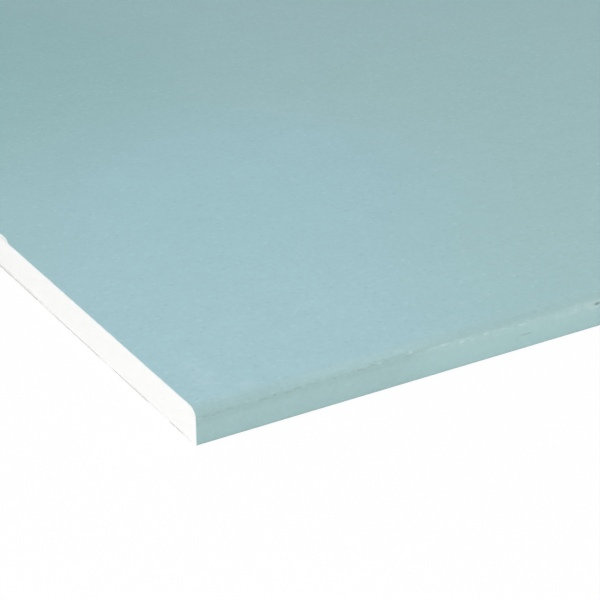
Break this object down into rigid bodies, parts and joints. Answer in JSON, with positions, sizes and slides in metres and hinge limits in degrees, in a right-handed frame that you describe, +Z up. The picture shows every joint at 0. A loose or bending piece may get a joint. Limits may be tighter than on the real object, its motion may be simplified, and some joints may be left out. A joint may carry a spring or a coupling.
{
  "type": "drywall sheet",
  "caption": "Flat drywall sheet: white gypsum core faced in pale teal paper that wraps its rounded long edges, with bare cut ends and a grey paper back.",
  "frame": {"origin": "middle of the underside, on the surface that the sheet lies on", "axes": "+X along the paper-wrapped long edges, +Y across the sheet, +Z up out of the teal face"},
  "size_m": [2.4, 1.2, 0.0125],
  "materials": {
    "gypsum": "matt, chalky, finely porous",
    "face_paper": "matt pale teal paper with fine fibres",
    "back_paper": "matt grey recycled paper with flecks"
  },
  "bodies": {
    "root": {"gypsum_core": "gypsum", "face_paper": "face_paper", "back_paper": "back_paper"}
  },
  "joints": []
}
